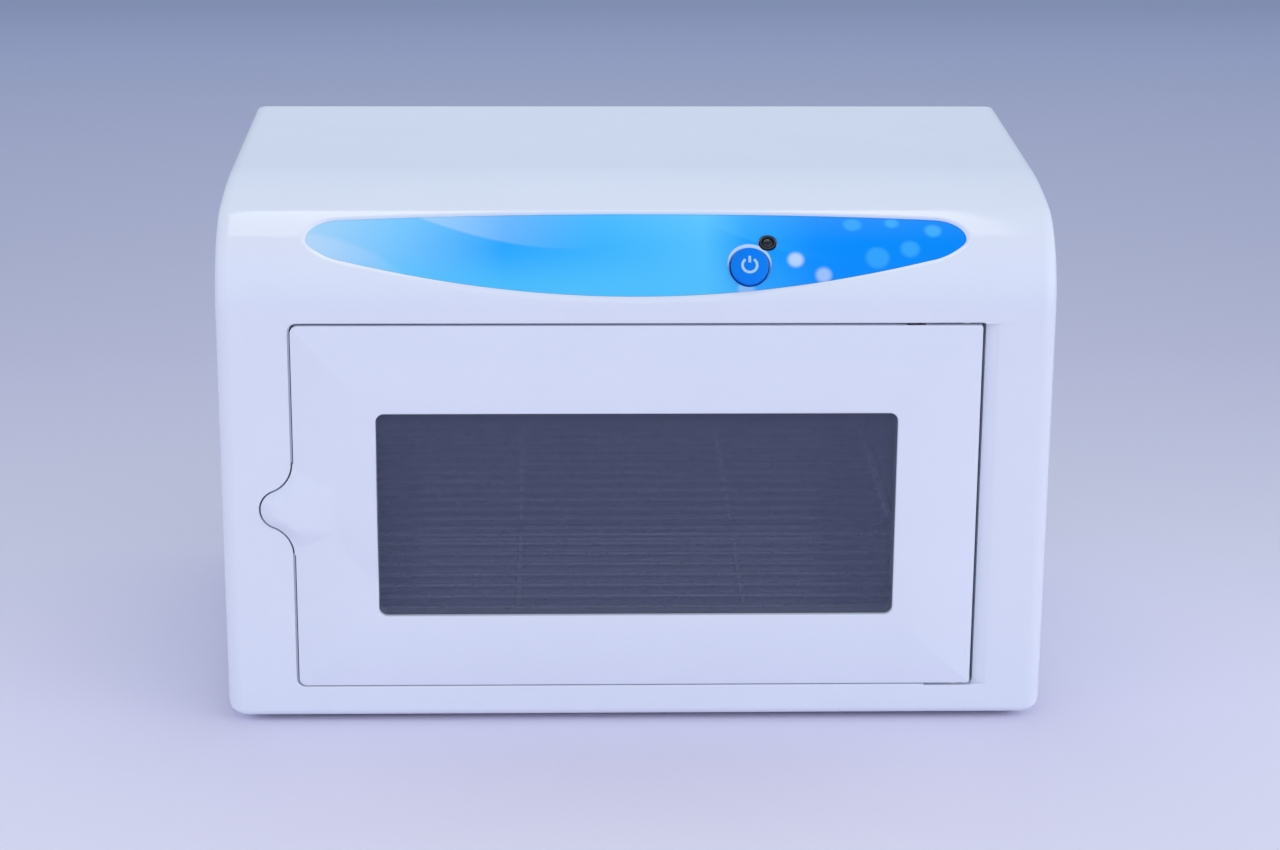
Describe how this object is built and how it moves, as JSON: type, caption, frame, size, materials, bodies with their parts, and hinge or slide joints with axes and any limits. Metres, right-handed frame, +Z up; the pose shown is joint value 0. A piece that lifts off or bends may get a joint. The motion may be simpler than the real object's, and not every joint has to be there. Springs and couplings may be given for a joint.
{
  "type": "uv sterilizer cabinet",
  "caption": "Countertop UV sterilizer cabinet with a smoked window door hinged on the right, a wire rack, a ceiling lamp and a push button on its curved brow.",
  "frame": {"origin": "on the surface the feet stand on, under the middle of the cabinet's box", "axes": "+X to the right across the front, +Y from the front towards the back, +Z up"},
  "size_m": [0.38, 0.2417, 0.2439],
  "materials": {
    "white_abs": "glossy moulded ABS",
    "panel_blue": "printed film, satin gloss",
    "button_blue": "glossy",
    "black_plastic": "matt",
    "nylon": "matt moulded",
    "fastener_steel": "zinc plated",
    "liner_sheet": "bright rolled sheet",
    "reflector_sheet": "bright",
    "mirror_steel": "mirror polished",
    "rack_chrome": "chrome plated wire",
    "lamp_glass": "clear",
    "lamp_cap_metal": "satin",
    "smoked_acrylic": "clear smoked",
    "lens_smoke": "gloss",
    "led_clear": "clear epoxy",
    "board_green": "solder mask",
    "ballast_lacquer": "lacquered",
    "starter_can": "satin",
    "foot_rubber": "matt",
    "wire_brown": "PVC",
    "wire_blue": "PVC",
    "wire_grey": "PVC"
  },
  "bodies": {
    "cabinet": {"main_housing": "white_abs", "rear_cover": "white_abs", "base_plate": "white_abs", "panel_overlay": "panel_blue", "button_switch": "black_plastic", "indicator_bezel": "black_plastic", "interlock_switch": "black_plastic", "magnet_catch": "black_plastic", "power_inlet": "black_plastic", "lamp_socket_left": "nylon", "lamp_socket_right": "nylon", "starter_holder": "nylon", "terminal_block": "nylon", "hinge_bush_upper": "nylon", "hinge_bush_lower": "nylon", "rear_screw_1": "fastener_steel", "rear_screw_2": "fastener_steel", "rear_screw_3": "fastener_steel", "rear_screw_4": "fastener_steel", "base_screw_1": "fastener_steel", "base_screw_2": "fastener_steel", "base_screw_3": "fastener_steel", "base_screw_4": "fastener_steel", "chamber_liner": "liner_sheet", "lamp_reflector": "reflector_sheet", "chamber_mirror": "mirror_steel", "indicator_lens": "lens_smoke", "indicator_led": "led_clear", "control_board": "board_green", "ballast": "ballast_lacquer", "starter": "starter_can", "foot_front_left": "foot_rubber", "foot_front_right": "foot_rubber", "foot_rear_left": "foot_rubber", "foot_rear_right": "foot_rubber", "inlet_lead": "wire_brown", "board_lead": "wire_blue", "lamp_lead_left": "wire_grey", "lamp_lead_right": "wire_grey"},
    "door": {"door_frame": "white_abs", "door_window": "smoked_acrylic", "door_liner": "white_abs", "door_screw_1": "fastener_steel", "door_screw_2": "fastener_steel", "door_screw_3": "fastener_steel", "door_screw_4": "fastener_steel", "hinge_pin_upper": "fastener_steel", "hinge_pin_lower": "fastener_steel", "strike_plate": "fastener_steel"},
    "button": {"power_button": "button_blue"},
    "interlock": {"interlock_finger": "black_plastic"},
    "lamp": {"lamp_tube": "lamp_glass", "lamp_cap_left": "lamp_cap_metal", "lamp_cap_right": "lamp_cap_metal"},
    "rack": {"wire_rack": "rack_chrome"}
  },
  "joints": [
    {"name": "door_hinge", "type": "hinge", "parent": "cabinet", "child": "door", "pos_m": [0.1491, -0.10931, 0.10555], "axis": [0, 0, 1], "range_deg": [0, 110]},
    {"name": "button_press", "type": "slide", "parent": "cabinet", "child": "button", "axis": [0, 0.8425, -0.5387], "range_m": [0, 0.0015], "stiffness_N_per_m": 400, "springref_m": -0.001},
    {"name": "interlock_push", "type": "slide", "parent": "cabinet", "child": "interlock", "axis": [0, 1, 0], "range_m": [0, 0.0015], "stiffness_N_per_m": 200, "springref_m": -0.001},
    {"name": "lamp_twist", "type": "hinge", "parent": "cabinet", "child": "lamp", "pos_m": [0, -0.00911, 0.212], "axis": [1, 0, 0], "range_deg": [0, 90]},
    {"name": "rack_lift", "type": "slide", "parent": "cabinet", "child": "rack", "axis": [0, 0, 1], "range_m": [0, 0.02]}
  ]
}
